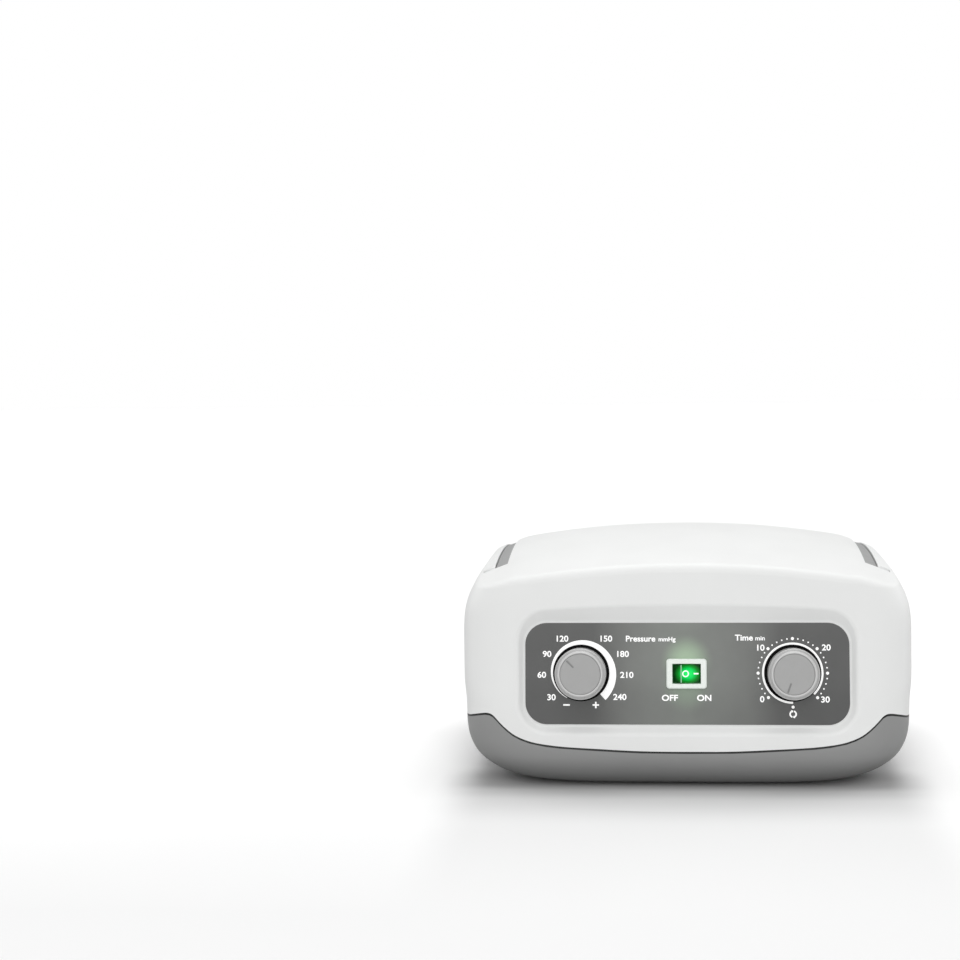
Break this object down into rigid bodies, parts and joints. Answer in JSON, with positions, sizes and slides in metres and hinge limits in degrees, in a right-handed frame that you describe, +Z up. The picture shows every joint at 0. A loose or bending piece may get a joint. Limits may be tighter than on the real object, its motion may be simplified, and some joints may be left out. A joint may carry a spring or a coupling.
{
  "type": "compression therapy pump",
  "caption": "Table-top air pump control unit for compression sleeves, white rounded case on a grey tray, two dials, lit rocker switch and fold-down carry handle.",
  "frame": {"origin": "on the surface it stands on, under the middle of its overall box", "axes": "+X to the right seen from the front, +Y to the rear, +Z up"},
  "size_m": [0.2404, 0.1999, 0.1278],
  "materials": {
    "abs_white": "satin, faint moulded texture",
    "abs_grey": "satin moulded",
    "label_film": "printed polycarbonate film, satin",
    "knob_grey": "satin metallised moulding",
    "spun_aluminium": "fine turned face",
    "aluminium": "die cast",
    "steel": "zinc plated",
    "steel_laminate": "stacked sheets",
    "copper": "enamelled winding",
    "brass": "plain",
    "lit_green": "clear tinted, lit from within",
    "black_plastic": "fine matt",
    "rubber": "matt",
    "acetal": "machined",
    "board": "fibreglass laminate",
    "pvc_hose": "translucent soft",
    "wire": "sleeved"
  },
  "bodies": {
    "case": {"upper_shell": "abs_white", "lower_shell": "abs_grey", "handle_channel_lining": "abs_grey", "handle_pins": "steel", "handle_stops": "rubber", "control_label": "label_film", "knob_washers": "black_plastic", "switch_housing": "abs_white", "switch_terminals": "brass", "regulator_body": "aluminium", "regulator_spring": "steel", "timer_body": "black_plastic", "rubber_feet": "rubber", "case_screws": "steel", "rear_panel": "abs_grey", "rear_panel_screws": "steel", "mains_inlet": "black_plastic", "inlet_pins": "brass", "fuse_holders": "black_plastic", "outlet_manifold": "abs_grey", "pump_bracket": "steel", "pump_core": "steel_laminate", "pump_coils": "copper", "pump_diaphragms": "rubber", "pump_heads": "aluminium", "pump_isolators": "rubber", "valve_motor": "steel", "valve_body": "acetal", "circuit_board": "board", "board_components": "black_plastic", "outlet_hoses": "pvc_hose", "supply_hose": "pvc_hose", "regulator_hose": "pvc_hose", "wiring_harness": "wire"},
    "pressure_dial": {"pressure_knob": "knob_grey", "pressure_knob_disc": "spun_aluminium", "pressure_knob_shaft": "steel"},
    "timer_dial": {"timer_knob": "knob_grey", "timer_knob_disc": "spun_aluminium", "timer_knob_shaft": "steel"},
    "rocker": {"power_rocker": "lit_green"},
    "handle": {"carry_handle": "abs_white"},
    "armature": {"pump_armature": "aluminium"},
    "rotor": {"valve_rotor": "acetal"},
    "plunger": {"regulator_plunger": "brass"}
  },
  "joints": [
    {"name": "pressure_turn", "type": "hinge", "parent": "case", "child": "pressure_dial", "pos_m": [-0.055, -0.0863, 0.06], "axis": [0, -0.9925, 0.1219], "range_deg": [-180, 90]},
    {"name": "timer_turn", "type": "hinge", "parent": "case", "child": "timer_dial", "pos_m": [0.055, -0.0863, 0.06], "axis": [0, -0.9925, 0.1219], "range_deg": [-295, 20]},
    {"name": "rocker_tip", "type": "hinge", "parent": "case", "child": "rocker", "pos_m": [0, -0.08078, 0.05902], "axis": [0, -0.1219, -0.9925], "range_deg": [0, 22]},
    {"name": "handle_lift", "type": "hinge", "parent": "case", "child": "handle", "pos_m": [0, -0.042, 0.1067], "axis": [1, 0, 0], "range_deg": [0, 95]},
    {"name": "armature_slide", "type": "slide", "parent": "case", "child": "armature", "axis": [1, 0, 0], "range_m": [-0.0015, 0.0015], "stiffness_N_per_m": 4000, "deforming": ["pump_diaphragms"]},
    {"name": "rotor_spin", "type": "hinge", "parent": "case", "child": "rotor", "pos_m": [0.048, 0.046, 0.04], "axis": [0, 0, 1], "continuous": true},
    {"name": "plunger_slide", "type": "slide", "parent": "case", "child": "plunger", "axis": [0, -0.9925, 0.1219], "range_m": [-0.00199, 0.001], "deforming": ["regulator_spring"]}
  ],
  "couplings": [
    {"joint": "pressure_turn", "follows": "plunger_slide", "rad_per_m": 1570.8}
  ]
}
